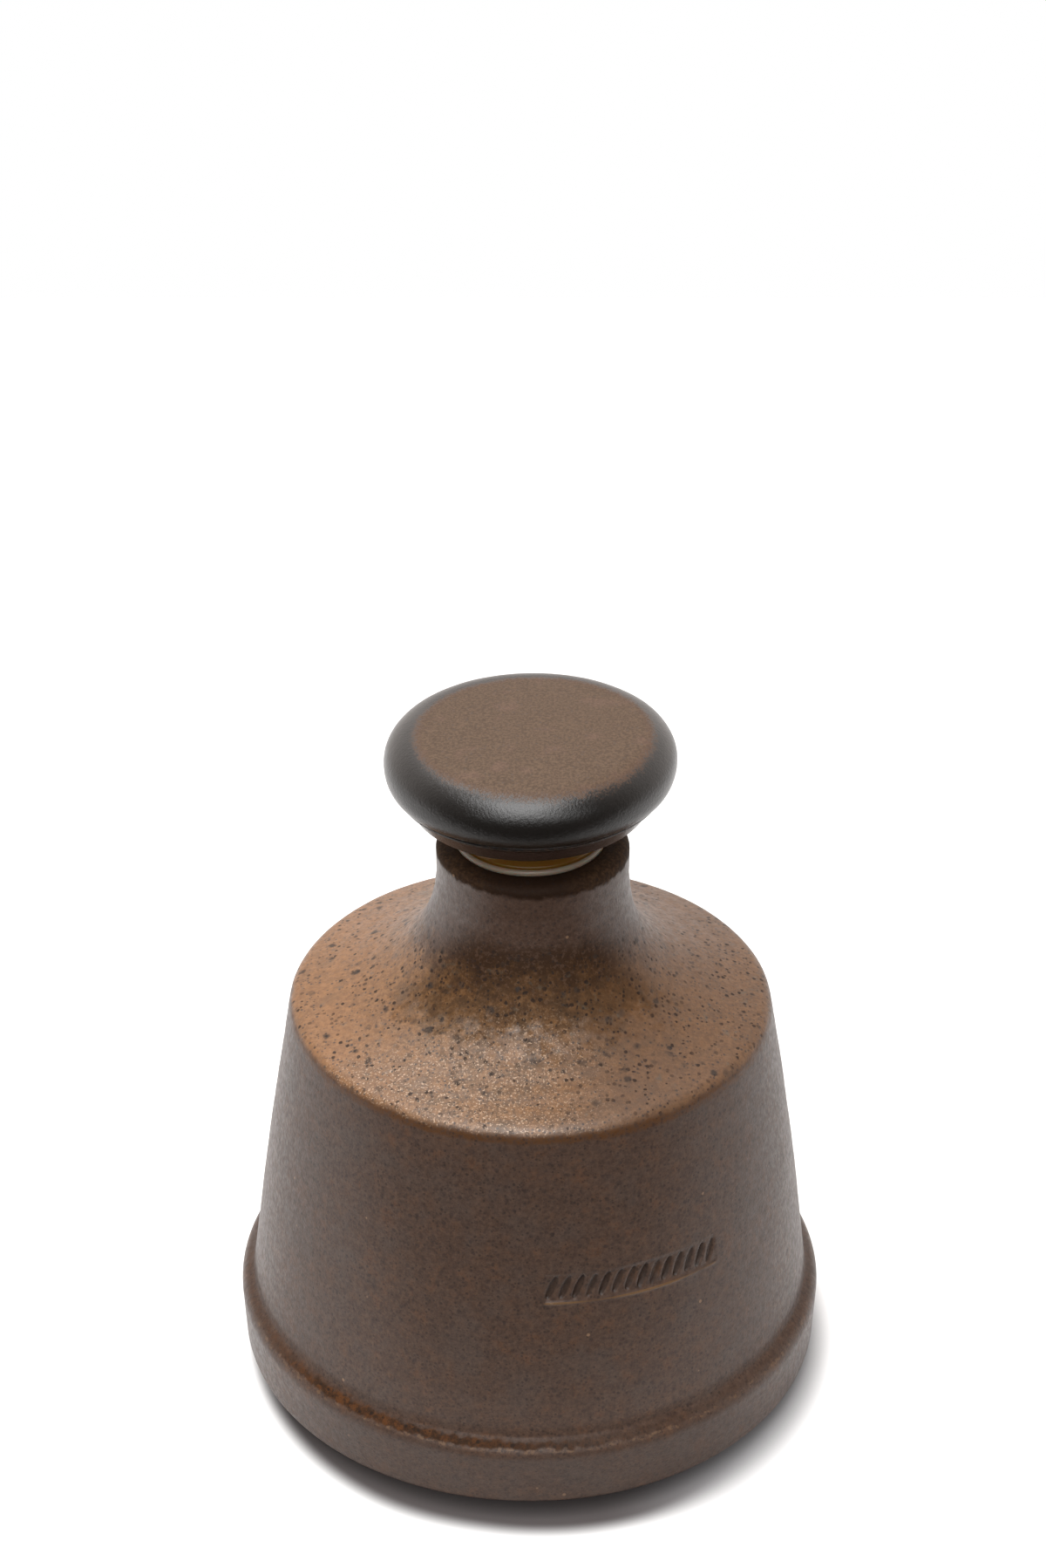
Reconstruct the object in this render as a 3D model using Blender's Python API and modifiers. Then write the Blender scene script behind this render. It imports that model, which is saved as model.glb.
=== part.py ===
"""A small sake bottle and its stopper, modelled as the three pieces they come apart into.

The bottle is one thrown and fired pot: a foot ring under a wide band, a leaning wall, a wide
shoulder and a short neck. The stopper is a fired mushroom cap whose stem wears a silicone
seal, and the seal's flange rests on the bottle's lip. Each piece is a turned shape: an outline
in the plane of radius and height, swept round the bottle's axis by a Screw modifier.

Metres, +Z up, with the origin at the centre of the bottle's base.
"""

import math

import bpy

MM = 0.001
GAP = 0.3 * MM                      # between pieces that touch

# Bottle, outside
BAND_RADIUS = 52.5 * MM             # the widest part, a band that stands out round the base
BAND_BOTTOM_RADIUS = 52.0 * MM
BAND_BOTTOM_HEIGHT = 4.5 * MM
BAND_TOP_HEIGHT = 15.2 * MM
WALL_BOTTOM_RADIUS = 50.0 * MM
WALL_BOTTOM_HEIGHT = 17.1 * MM
WALL_BELLY = 0.4 * MM               # how far the wall swells out of a straight taper
SHOULDER_RADIUS = 41.3 * MM
SHOULDER_HEIGHT = 74.0 * MM
SHOULDER_SLOPE = math.radians(13.3)
LIP_RADIUS = 16.0 * MM
LIP_HEIGHT = 104.1 * MM

# Bottle, inside and underneath
WALL_THICKNESS = 4.2 * MM
BORE_RADIUS = 10.5 * MM
FLOOR_HEIGHT = 10.5 * MM
INNER_SHOULDER_DROP = 4.4 * MM
FOOT_RADIUS = 44.0 * MM             # the foot ring that the band overhangs
FOOT_INNER_RADIUS = 37.0 * MM
FOOT_RECESS = 3.6 * MM

# Seal
STEM_RADIUS = 8.0 * MM
SLEEVE_RADIUS = 9.3 * MM
FIN_RADIUS = BORE_RADIUS - GAP
FIN_COUNT = 3
FIN_PITCH = 3.6 * MM
COLLAR_RADIUS = 12.2 * MM
FLANGE_RADIUS = 13.4 * MM
FLANGE_THICKNESS = 1.2 * MM
COLLAR_HEIGHT = 2.9 * MM            # above the flange
SEAL_DEPTH = 13.4 * MM              # below the flange

# Cap
CAP_RADIUS = 24.2 * MM
CAP_RIM_HEIGHT = 119.5 * MM         # where the cap is widest
CAP_TOP_RADIUS = 18.0 * MM          # where the nearly flat top rolls over
CAP_TOP_HEIGHT = 125.2 * MM
CAP_DOME = 0.6 * MM                 # rise of the top's centre
CAP_RIDGE_RADIUS = 21.0 * MM        # the edge below the rolled rim
CAP_RIDGE_HEIGHT = 114.8 * MM
CAP_UNDERSIDE_RADIUS = 19.6 * MM
CAP_UNDERSIDE_HEIGHT = 111.4 * MM
STEM_PROUD = 1.0 * MM               # how far the stem's end stands below the seal

BOTTLE_STEPS = 48
STOPPER_STEPS = 36
ARC_STEP = math.radians(22.5)


def ellipse(centre, radii, start, end):
    """Points along an ellipse, from one angle to another in degrees, both ends included."""
    start, end = math.radians(start), math.radians(end)
    count = max(2, round(abs(end - start) / ARC_STEP))
    angles = [start + (end - start) * i / count for i in range(count + 1)]
    return [
        (centre[0] + radii[0] * math.cos(a), centre[1] + radii[1] * math.sin(a))
        for a in angles
    ]


def bezier(start, handle_1, handle_2, end, count):
    """Points along a cubic curve, both ends included."""
    points = []
    for i in range(count + 1):
        t = i / count
        weights = ((1 - t) ** 3, 3 * (1 - t) ** 2 * t, 3 * (1 - t) * t ** 2, t ** 3)
        corners = (start, handle_1, handle_2, end)
        points.append(tuple(sum(w * c[k] for w, c in zip(weights, corners)) for k in (0, 1)))
    return points


def rounded(before, corner, after, radius):
    """The arc of the given radius that replaces a corner, from the side of before to after."""
    to_before = (before[0] - corner[0], before[1] - corner[1])
    to_after = (after[0] - corner[0], after[1] - corner[1])
    angle_1 = math.atan2(to_before[1], to_before[0])
    angle_2 = math.atan2(to_after[1], to_after[0])
    opening = (angle_2 - angle_1 + math.pi) % (2 * math.pi) - math.pi
    middle = angle_1 + opening / 2
    distance = radius / math.sin(abs(opening) / 2)
    centre = (corner[0] + distance * math.cos(middle), corner[1] + distance * math.sin(middle))
    half_turn = (math.pi - abs(opening)) / 2
    facing = middle + math.pi
    side = 1 if opening > 0 else -1
    start, end = facing + side * half_turn, facing - side * half_turn
    return ellipse(centre, (radius, radius), math.degrees(start), math.degrees(end))


def wall_radius(height):
    """Outer radius of the bottle's wall: a straight taper with a slight belly."""
    t = (height - WALL_BOTTOM_HEIGHT) / (SHOULDER_HEIGHT - WALL_BOTTOM_HEIGHT)
    taper = WALL_BOTTOM_RADIUS + (SHOULDER_RADIUS - WALL_BOTTOM_RADIUS) * t
    return taper + WALL_BELLY * math.sin(math.pi * t)


def neck_curve(shoulder, lip, count):
    """The sweep from a point on the shoulder up to the foot of a vertical neck."""
    reach = 0.68 * (shoulder[0] - lip[0])
    rise = 0.60 * (lip[1] - shoulder[1])
    handle_1 = (
        shoulder[0] - reach * math.cos(SHOULDER_SLOPE),
        shoulder[1] + reach * math.sin(SHOULDER_SLOPE),
    )
    handle_2 = (lip[0], lip[1] - rise)
    return bezier(shoulder, handle_1, handle_2, lip, count)


def bottle_inside():
    """The bottle's inner outline, from the middle of the floor up to the bore."""
    wall_bottom = (wall_radius(WALL_BOTTOM_HEIGHT) - WALL_THICKNESS, FLOOR_HEIGHT)
    top_height = SHOULDER_HEIGHT - INNER_SHOULDER_DROP
    wall_top = (wall_radius(top_height) - WALL_THICKNESS, top_height)
    shoulder = (wall_top[0] - 3.5 * MM, top_height + 0.8 * MM)
    bore = (BORE_RADIUS, LIP_HEIGHT - 8.0 * MM)
    outline = [(0.0, FLOOR_HEIGHT)]
    outline += rounded(outline[0], wall_bottom, wall_top, 7.0 * MM)
    for part in (0.33, 0.66):
        height = FLOOR_HEIGHT + (top_height - FLOOR_HEIGHT) * part
        outline.append((wall_radius(height) - WALL_THICKNESS, height))
    outline += rounded(outline[-1], wall_top, shoulder, 2.5 * MM)
    outline += neck_curve(shoulder, bore, 8)
    return outline


def bottle_outside():
    """The bottle's outer outline, from the bore over the lip and down to the middle underneath."""
    bore_top = (BORE_RADIUS, LIP_HEIGHT)
    lip_edge = (LIP_RADIUS, LIP_HEIGHT)
    neck = (LIP_RADIUS, LIP_HEIGHT - 1.7 * MM)
    shoulder_edge = (SHOULDER_RADIUS, SHOULDER_HEIGHT)
    shoulder = (SHOULDER_RADIUS - 2.0 * MM, SHOULDER_HEIGHT + 2.0 * MM * math.tan(SHOULDER_SLOPE))
    wall_bottom = (WALL_BOTTOM_RADIUS, WALL_BOTTOM_HEIGHT)
    band_top = (BAND_RADIUS, BAND_TOP_HEIGHT)
    band_bottom = (BAND_BOTTOM_RADIUS, BAND_BOTTOM_HEIGHT)
    foot_top = (FOOT_RADIUS + 1.0 * MM, BAND_BOTTOM_HEIGHT - 0.8 * MM)
    foot_bottom = (FOOT_RADIUS, 0.0)
    foot_inner = (FOOT_INNER_RADIUS, 0.0)

    outline = rounded((BORE_RADIUS, 0.0), bore_top, lip_edge, 1.0 * MM)
    outline += rounded(bore_top, lip_edge, neck, 1.6 * MM)
    outline += reversed(neck_curve(shoulder, neck, 12)[:-1])
    wall_height = SHOULDER_HEIGHT - WALL_BOTTOM_HEIGHT
    heights = [SHOULDER_HEIGHT - wall_height * i / 5 for i in range(1, 5)]
    wall = [(wall_radius(height), height) for height in heights]
    outline += rounded(outline[-1], shoulder_edge, wall[0], 2.4 * MM)
    outline += wall
    outline.append(wall_bottom)
    outline += rounded(wall_bottom, band_top, band_bottom, 2.2 * MM)
    outline += rounded(band_top, band_bottom, foot_top, 0.7 * MM)
    outline.append(foot_top)
    outline += rounded(foot_top, foot_bottom, foot_inner, 0.7 * MM)
    outline.append(foot_inner)
    outline.append((FOOT_INNER_RADIUS - 1.2 * MM, FOOT_RECESS))
    outline.append((0.0, FOOT_RECESS))
    return outline


def seal_outline():
    """The seal: collar, flange and finned sleeve, as one closed outline."""
    inner_radius = STEM_RADIUS + GAP
    flange_bottom = LIP_HEIGHT + GAP
    flange_top = flange_bottom + FLANGE_THICKNESS
    collar_top = flange_top + COLLAR_HEIGHT
    bottom = flange_bottom - SEAL_DEPTH

    outline = [(inner_radius, collar_top), (COLLAR_RADIUS, collar_top)]
    outline.append((COLLAR_RADIUS, flange_top))
    flange_middle = (FLANGE_RADIUS - FLANGE_THICKNESS / 2, flange_bottom + FLANGE_THICKNESS / 2)
    outline += ellipse(flange_middle, (FLANGE_THICKNESS / 2,) * 2, 90, -90)
    outline.append((SLEEVE_RADIUS, flange_bottom))
    for i in range(FIN_COUNT):
        fin = flange_bottom - 2.2 * MM - FIN_PITCH * i
        outline += [
            (SLEEVE_RADIUS, fin),
            (FIN_RADIUS, fin - 0.3 * MM),
            (FIN_RADIUS, fin - 0.9 * MM),
            (SLEEVE_RADIUS, fin - 2.0 * MM),
        ]
    outline += [(SLEEVE_RADIUS, bottom + 0.6 * MM), (SLEEVE_RADIUS - 0.5 * MM, bottom)]
    outline.append((inner_radius, bottom))
    return outline


def cap_outline():
    """The cap, from the middle of its top over the rolled rim and down its stem."""
    seal_bottom = LIP_HEIGHT + GAP - SEAL_DEPTH
    seal_top = LIP_HEIGHT + GAP + FLANGE_THICKNESS + COLLAR_HEIGHT
    stem_end = seal_bottom - STEM_PROUD

    dome = []
    for part in (0.0, 0.35, 0.65, 0.85):
        dome.append((CAP_TOP_RADIUS * part, CAP_TOP_HEIGHT + CAP_DOME * (1 - part ** 2)))
    roll = (CAP_RADIUS - CAP_TOP_RADIUS, CAP_TOP_HEIGHT - CAP_RIM_HEIGHT)
    tuck = (CAP_RADIUS - CAP_RIDGE_RADIUS, CAP_RIM_HEIGHT - CAP_RIDGE_HEIGHT)
    outline = dome
    outline += ellipse((CAP_TOP_RADIUS, CAP_RIM_HEIGHT), roll, 90, 0)
    outline += ellipse((CAP_RIDGE_RADIUS, CAP_RIM_HEIGHT), tuck, 0, -90)[1:]
    neck_of_cap = (CAP_RIDGE_RADIUS - 0.5 * MM, CAP_RIDGE_HEIGHT - 0.3 * MM)
    underside_edge = (CAP_UNDERSIDE_RADIUS, CAP_UNDERSIDE_HEIGHT)
    underside_inner = (COLLAR_RADIUS + 0.4 * MM, seal_top + GAP)
    outline.append(neck_of_cap)
    outline += rounded(neck_of_cap, underside_edge, underside_inner, 0.7 * MM)
    outline.append(underside_inner)
    outline.append((STEM_RADIUS, seal_top + GAP))
    outline += rounded(outline[-1], (STEM_RADIUS, stem_end), (0.0, stem_end), 0.8 * MM)
    outline.append((0.0, stem_end))
    return outline


def material(name, colour, roughness, alpha=1.0):
    """A plain finish for one piece."""
    finish = bpy.data.materials.new(name)
    finish.use_nodes = True
    shader = finish.node_tree.nodes["Principled BSDF"]
    shader.inputs["Base Color"].default_value = (*colour, 1.0)
    shader.inputs["Roughness"].default_value = roughness
    shader.inputs["Metallic"].default_value = 0.0
    shader.inputs["Alpha"].default_value = alpha
    return finish


def turned(name, outline, steps, finish, collection, closed=False):
    """A piece swept round the Z axis from its outline of (radius, height) points."""
    vertices = [(radius, 0.0, height) for radius, height in outline]
    edges = [(i, i + 1) for i in range(len(vertices) - 1)]
    if closed:
        edges.append((len(vertices) - 1, 0))
    mesh = bpy.data.meshes.new(name)
    mesh.from_pydata(vertices, edges, [])
    piece = bpy.data.objects.new(name, mesh)
    collection.objects.link(piece)
    mesh.materials.append(finish)
    screw = piece.modifiers.new("turn", "SCREW")
    screw.axis = "Z"
    screw.angle = 2 * math.pi
    screw.steps = steps
    screw.render_steps = steps
    screw.use_merge_vertices = True
    screw.merge_threshold = 0.00001
    screw.use_smooth_shade = True
    return piece


def main():
    for thing in list(bpy.data.objects):
        bpy.data.objects.remove(thing)
    collection = bpy.data.collections.new("sake_bottle")
    bpy.context.scene.collection.children.link(collection)

    stoneware = material("iron_glazed_stoneware", (0.12, 0.07, 0.05), 0.42)
    dark_glaze = material("dark_glazed_stoneware", (0.05, 0.04, 0.035), 0.35)
    silicone = material("translucent_silicone", (0.45, 0.30, 0.18), 0.40, alpha=0.85)

    bottle = bottle_inside() + bottle_outside()
    turned("bottle_body", bottle, BOTTLE_STEPS, stoneware, collection)
    turned("stopper_seal", seal_outline(), STOPPER_STEPS, silicone, collection, closed=True)
    turned("stopper_cap", cap_outline(), STOPPER_STEPS, dark_glaze, collection)


main()
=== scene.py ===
"""The looks of a small stoneware sake bottle and its stopper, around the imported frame.

The frame's three plain turned solids are each replaced by a finer turned skin: the bottle
with its throwing rings and impressed mark, the cap with its rolled glaze edge, and the
silicone seal with its fins. Every finish is procedural and reads the piece's own coordinates.
Outlines are in millimetres, as (radius, height) points about the bottle's axis. Light, camera
and the x and y that a finish reads are in metres.
"""

import math

import bpy
import numpy as np
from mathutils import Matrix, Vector, noise


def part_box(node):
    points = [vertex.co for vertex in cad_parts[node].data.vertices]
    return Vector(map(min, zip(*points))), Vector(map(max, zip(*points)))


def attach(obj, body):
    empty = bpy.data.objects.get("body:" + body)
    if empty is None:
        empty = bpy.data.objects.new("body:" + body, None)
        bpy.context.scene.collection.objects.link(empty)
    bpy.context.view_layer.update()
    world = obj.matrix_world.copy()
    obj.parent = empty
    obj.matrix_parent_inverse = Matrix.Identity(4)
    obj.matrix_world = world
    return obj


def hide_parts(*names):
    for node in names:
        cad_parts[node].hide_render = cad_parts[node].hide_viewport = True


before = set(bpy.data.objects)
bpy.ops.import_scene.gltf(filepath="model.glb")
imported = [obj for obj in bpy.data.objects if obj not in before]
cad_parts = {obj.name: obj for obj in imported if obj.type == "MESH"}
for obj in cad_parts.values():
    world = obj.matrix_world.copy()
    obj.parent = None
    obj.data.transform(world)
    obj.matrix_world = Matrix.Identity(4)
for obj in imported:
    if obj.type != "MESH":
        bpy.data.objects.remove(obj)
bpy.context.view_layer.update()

MM = 0.001


def reach(node):
    """A node's outer radius, lowest and highest point in millimetres."""
    low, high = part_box(node)
    return high.x / MM, low.z / MM, high.z / MM


BAND_RADIUS, _, LIP_HEIGHT = reach("bottle_body")
_, SEAL_BOTTOM, SEAL_TOP = reach("stopper_seal")
CAP_RADIUS, STEM_END, CAP_HEIGHT = reach("stopper_cap")

# Bottle
BAND_TOP_HEIGHT = 15.4
BAND_ROUNDING = 2.8
BAND_BOTTOM_HEIGHT = 4.5
BAND_TAPER = 0.45                   # the band is this much narrower at its bottom
WALL_BOTTOM = (50.0, 17.3)
WALL_BELLY = 0.4
WALL_THICKNESS = 4.2
SHOULDER_EDGE = (41.3, 74.0)
SHOULDER_ROUNDING = 2.6
SHOULDER_SLOPE = math.radians(13.3)
NECK_START = 2.2                    # the neck's curve starts this far in from the shoulder's edge
LIP_RADIUS = 16.2
LIP_SIDE = 4.6                      # height of the lip's upright side
LIP_ROUNDINGS = (1.0, 1.6)          # inside and outside
BORE_RADIUS = 10.5
BORE_LENGTH = 8.0
INNER_DROP = 4.4                    # from the shoulder's edge down to the inner wall's top
INNER_START = (3.5, 0.8)            # from there, in and up, to the start of the neck's inside
INNER_ROUNDINGS = (7.0, 2.5)        # at the floor and under the shoulder
FLOOR_HEIGHT = 10.5
FOOT_RADIUS = 44.0                  # the ring the bottle stands on, inset under the band
FOOT_INNER_RADIUS = 37.0
FOOT_RECESS = 3.6

# Impressed mark, a row of slanted leaves in a shallow strip
MARK_HEIGHT = 45.3
MARK_START = 3.0                    # degrees round from the front, towards +X
MARK_END = 42.0
MARK_STRIP_HALF = 2.4
MARK_STRIP_DEPTH = 0.14
MARK_MARGIN = 1.6                   # finer rows go on this far above and below the strip
MARK_SLOPE = -0.02                  # the strip drops a little as it goes round
PUSHED_CLAY = 0.18
LEAVES = 14
LEAF_DEPTH = 0.50
LEAF_HALF_WIDTH = 0.50
LEAF_SLANT = 0.42

# The hand-made unevenness, all depths in mm
WALL_RINGS = (                      # depth, pitch, how much they lean, phase
    (0.008, 4.7, 1.0, 0.5),
    (0.006, 2.9, 1.6, 0.0),
    (0.014, 11.3, -1.0, 1.1),
)
RING_LEAN = 0.35
SHOULDER_RINGS = (0.04, 4.1)        # depth, pitch
NECK_RINGS = (0.04, 3.4)
WOBBLE = ((0.16, 1, -0.6), (0.10, 2, 1.0))      # depth, waves round the bottle, phase
NECK_SHIFT = 0.30                   # the neck's top stands this far towards +X
LUMPS = (0.10, 14.0)                # depth, size
CAP_LUMPS = (0.07, 9.0)
CAP_OVAL = 0.05
MOULD_LINE = (0.06, 0.2)            # the seal's moulding line: height, width

# Stopper
STEM_RADIUS = 8.0
COLLAR_RADIUS = 11.7
SEAL_GAP = 0.1                      # between the seal and the stem, and under the flange
FLANGE_RADIUS = 12.8                # 0.6 less than in the frame
FLANGE_THICKNESS = 1.1
SLEEVE_RADIUS = 9.3
FIN_COUNT = 3
FIN_PITCH = 3.6
MOULD_LINE_TURN = 35.0              # degrees from the front to the seal's moulding line
CAP_RIM_HEIGHT = 119.5
CAP_TUCK = (2.6, 4.3)               # the rim's curve back in, across and down
CAP_TOP_RADIUS = 18.0
CAP_TOP_HEIGHT = 125.2
CAP_TILT = math.radians(0.9)        # the hand-made head isn't quite square to its stem
CAP_BEAD = (21.7, 115.0)            # the glaze's rolled lower edge
CAP_BEAD_RADIUS = 0.5
CAP_UNDERSIDE = (19.6, 111.4)

FRONT = -90.0                       # the direction of -Y, in degrees from +X

# Where the glazes change
GLAZE_END = 3.6                     # bare clay below this height
TAN_BOTTOM = 72.5
TAN_TOP = 91.0                      # the tan thins out around here, some way up the neck's foot
FRONT_SIDE = (-0.006, -0.016)       # y in metres over which the front's darker glaze and painted shade come in
CAP_BROWN_RADIUS = 18.5             # the dry brown top ends just outside this


# ---------------------------------------------------------------- outlines


def ellipse(centre, radii, start, end, step=12):
    """Points along an ellipse, from one angle to another in degrees."""
    count = max(2, round(abs(end - start) / step))
    angles = [math.radians(start + (end - start) * i / count) for i in range(count + 1)]
    return [
        (centre[0] + radii[0] * math.cos(a), centre[1] + radii[1] * math.sin(a))
        for a in angles
    ]


def bezier(start, handle_1, handle_2, end, count):
    """Points along a cubic curve."""
    corners = (start, handle_1, handle_2, end)
    points = []
    for i in range(count + 1):
        t = i / count
        weights = ((1 - t) ** 3, 3 * (1 - t) ** 2 * t, 3 * (1 - t) * t ** 2, t ** 3)
        points.append(tuple(sum(w * c[k] for w, c in zip(weights, corners)) for k in (0, 1)))
    return points


def rounded(before, corner, after, radius, step=12):
    """The arc of the given radius that replaces a corner, from the side of before to after."""
    angle_1 = math.atan2(before[1] - corner[1], before[0] - corner[0])
    angle_2 = math.atan2(after[1] - corner[1], after[0] - corner[0])
    opening = (angle_2 - angle_1 + math.pi) % (2 * math.pi) - math.pi
    middle = angle_1 + opening / 2
    distance = radius / math.sin(abs(opening) / 2)
    centre = (corner[0] + distance * math.cos(middle), corner[1] + distance * math.sin(middle))
    half_turn = (math.pi - abs(opening)) / 2
    side = 1 if opening > 0 else -1
    start = math.degrees(middle + math.pi + side * half_turn)
    end = math.degrees(middle + math.pi - side * half_turn)
    return ellipse(centre, (radius, radius), start, end, step)


def resample(points, spacing):
    """The same line with points at an even spacing, both ends kept."""
    points = np.array(points)
    lengths = np.hypot(*np.diff(points, axis=0).T)
    along = np.concatenate([[0.0], np.cumsum(lengths)])
    count = max(1, round(along[-1] / spacing))
    wanted = np.linspace(0.0, along[-1], count + 1)
    return [(np.interp(w, along, points[:, 0]), np.interp(w, along, points[:, 1])) for w in wanted]


def joined(*stretches):
    """One outline from stretches, without the points that repeat where they meet."""
    outline = []
    for stretch in stretches:
        for point in stretch:
            if not outline or math.dist(point, outline[-1]) > 0.02:
                outline.append((float(point[0]), float(point[1])))
    return outline


def wall_radius(height):
    """The wall's outer radius at a height: a cone with a slight belly."""
    t = (height - WALL_BOTTOM[1]) / (SHOULDER_EDGE[1] - WALL_BOTTOM[1])
    cone = WALL_BOTTOM[0] + (SHOULDER_EDGE[0] - WALL_BOTTOM[0]) * t
    return cone + WALL_BELLY * math.sin(math.pi * t)


def wall(top, bottom, spacing):
    """The outer wall from one height down to another."""
    count = round((top - bottom) / spacing)
    heights = [top + (bottom - top) * i / count for i in range(count + 1)]
    return [(wall_radius(height), height) for height in heights]


def neck_sweep(shoulder, neck, count):
    """The curve from a point on the shoulder up to the foot of the neck."""
    out = 0.68 * (shoulder[0] - neck[0])
    up = 0.60 * (neck[1] - shoulder[1])
    along = (out * math.cos(SHOULDER_SLOPE), out * math.sin(SHOULDER_SLOPE))
    handle_1 = (shoulder[0] - along[0], shoulder[1] + along[1])
    return bezier(shoulder, handle_1, (neck[0], neck[1] - up), neck, count)


def bottle_outline():
    """From the middle of the inner floor, up inside, over the lip, down outside and underneath."""
    inner_top = SHOULDER_EDGE[1] - INNER_DROP
    inner_wall_bottom = (wall_radius(WALL_BOTTOM[1]) - WALL_THICKNESS, FLOOR_HEIGHT)
    inner_wall_top = (wall_radius(inner_top) - WALL_THICKNESS, inner_top)
    inner_shoulder = (inner_wall_top[0] - INNER_START[0], inner_top + INNER_START[1])
    floor = [(0.0, FLOOR_HEIGHT)]
    floor += rounded((0.0, FLOOR_HEIGHT), inner_wall_bottom, inner_wall_top, INNER_ROUNDINGS[0])
    inner_wall = rounded(floor[-1], inner_wall_top, inner_shoulder, INNER_ROUNDINGS[1])
    inner_neck = neck_sweep(inner_shoulder, (BORE_RADIUS, LIP_HEIGHT - BORE_LENGTH), 20)

    bore_top = (BORE_RADIUS, LIP_HEIGHT)
    lip_edge = (LIP_RADIUS, LIP_HEIGHT)
    neck = (LIP_RADIUS, LIP_HEIGHT - LIP_SIDE)
    lip = rounded((BORE_RADIUS, 0.0), bore_top, lip_edge, LIP_ROUNDINGS[0])
    lip += rounded(bore_top, lip_edge, neck, LIP_ROUNDINGS[1], step=9)
    rise = NECK_START * math.tan(SHOULDER_SLOPE)
    shoulder = (SHOULDER_EDGE[0] - NECK_START, SHOULDER_EDGE[1] + rise)
    sweep = neck_sweep(shoulder, neck, 80)[::-1]
    wall_height = SHOULDER_EDGE[1] - 9.5
    below_edge = (wall_radius(wall_height), wall_height)
    edge = rounded(shoulder, SHOULDER_EDGE, below_edge, SHOULDER_ROUNDING, step=6)

    mark_top = MARK_HEIGHT + MARK_STRIP_HALF + MARK_MARGIN
    mark_bottom = MARK_HEIGHT - MARK_STRIP_HALF - MARK_MARGIN
    wall_top = edge[-1][1]
    band_top = (BAND_RADIUS, BAND_TOP_HEIGHT)
    band_bottom = (BAND_RADIUS - BAND_TAPER, BAND_BOTTOM_HEIGHT)
    foot_top = (FOOT_RADIUS + 1.0, BAND_BOTTOM_HEIGHT - 0.8)
    foot_bottom = (FOOT_RADIUS, 0.0)
    foot_inner = (FOOT_INNER_RADIUS, 0.0)
    above_cove = WALL_BOTTOM[1] + 7.2
    cove = rounded((wall_radius(above_cove), above_cove), WALL_BOTTOM, band_top, 0.9)
    wall_end = cove[0][1]
    step = rounded(WALL_BOTTOM, band_top, band_bottom, BAND_ROUNDING, step=9)
    band_end = rounded(band_top, band_bottom, foot_top, 0.8)
    underside = rounded(band_bottom, foot_top, foot_bottom, 0.8)
    underside += rounded(foot_top, foot_bottom, foot_inner, 0.7)
    underside += [foot_inner, (FOOT_INNER_RADIUS - 1.2, FOOT_RECESS), (0.0, FOOT_RECESS)]
    return joined(
        resample(floor, 3.0),
        resample(inner_wall, 2.5),
        resample(inner_neck, 1.5),
        lip,
        resample(sweep, 0.7),
        edge,
        wall(wall_top, mark_top, 0.7),
        wall(mark_top, mark_bottom, 0.22),
        wall(mark_bottom, wall_end, 0.7),
        cove,
        step,
        resample([step[-1], band_end[0]], 0.7),
        band_end,
        underside,
    )


def cap_outline():
    """From the middle of the top, over the rolled rim and the bead, and down the stem."""
    dome = []
    for part in np.linspace(0.0, 1.0, 25):
        height = CAP_TOP_HEIGHT + (CAP_HEIGHT - CAP_TOP_HEIGHT) * (1 - part ** 2)
        dome.append((CAP_TOP_RADIUS * part, height))
    roll = (CAP_RADIUS - CAP_TOP_RADIUS, CAP_TOP_HEIGHT - CAP_RIM_HEIGHT)
    rim = ellipse((CAP_TOP_RADIUS, CAP_RIM_HEIGHT), roll, 90, 0, step=4)
    tuck = ellipse((CAP_RADIUS - CAP_TUCK[0], CAP_RIM_HEIGHT), CAP_TUCK, 0, -66, step=4)
    bead = ellipse(CAP_BEAD, (CAP_BEAD_RADIUS, CAP_BEAD_RADIUS), 40, -70, step=14)
    inner = (COLLAR_RADIUS + 0.4, SEAL_TOP + 0.3)
    below_bead = (CAP_BEAD[0] - 0.55, CAP_BEAD[1] - 0.9)
    cone = rounded(below_bead, CAP_UNDERSIDE, inner, 0.8)
    stem_top = (STEM_RADIUS, SEAL_TOP + 0.3)
    stem = rounded(stem_top, (STEM_RADIUS, STEM_END), (0.0, STEM_END), 0.8)
    return joined(
        resample(dome, 0.7),
        rim,
        tuck,
        bead,
        resample([below_bead, cone[0]], 0.6),
        cone,
        resample([cone[-1], inner], 1.0),
        [stem_top],
        resample([stem_top, stem[0]], 2.0),
        stem,
        [(0.0, STEM_END)],
    )


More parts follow.
